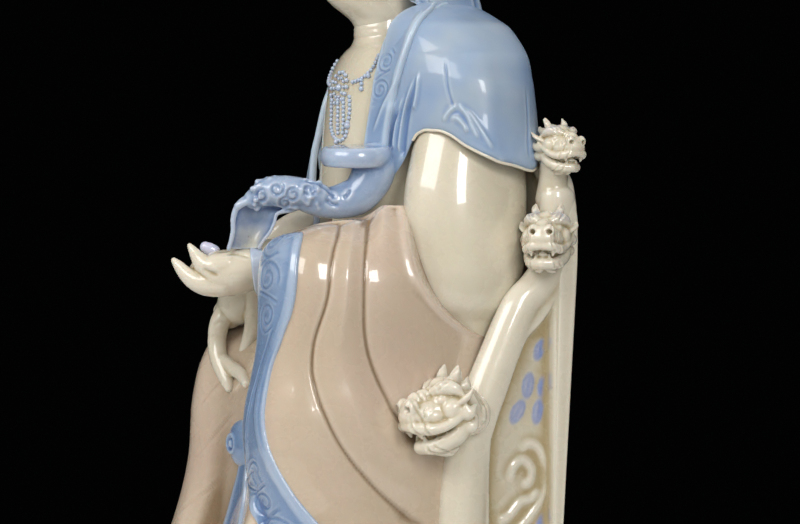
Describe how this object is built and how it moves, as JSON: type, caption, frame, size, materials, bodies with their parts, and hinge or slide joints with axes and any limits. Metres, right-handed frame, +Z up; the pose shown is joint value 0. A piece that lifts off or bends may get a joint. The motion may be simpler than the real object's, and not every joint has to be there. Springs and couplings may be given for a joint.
{
  "type": "porcelain guanyin figure on a dragon throne",
  "caption": "Glazed porcelain guanyin seated on a dragon-headed throne, with veil and cape, one palm up under a curved sceptre and the other hand over the knee, on a low plinth.",
  "frame": {"origin": "middle of the plinth's underside, on the surface that it stands on", "axes": "+Z up, the figure faces -Y, +X to the figure's left"},
  "size_m": [0.2975, 0.256, 0.53],
  "materials": {
    "ivory_glaze": "clear gloss glaze over an ivory body",
    "beige_glaze": "gloss glaze over a pinkish beige underglaze on the robe",
    "blue_glaze": "gloss glaze over a soft sky blue underglaze, clouded where it runs thin",
    "lavender_glaze": "gloss glaze over a blue lavender underglaze on the beads"
  },
  "bodies": {
    "root": {"guanyin_on_dragon_throne": "ivory_glaze"}
  },
  "joints": []
}
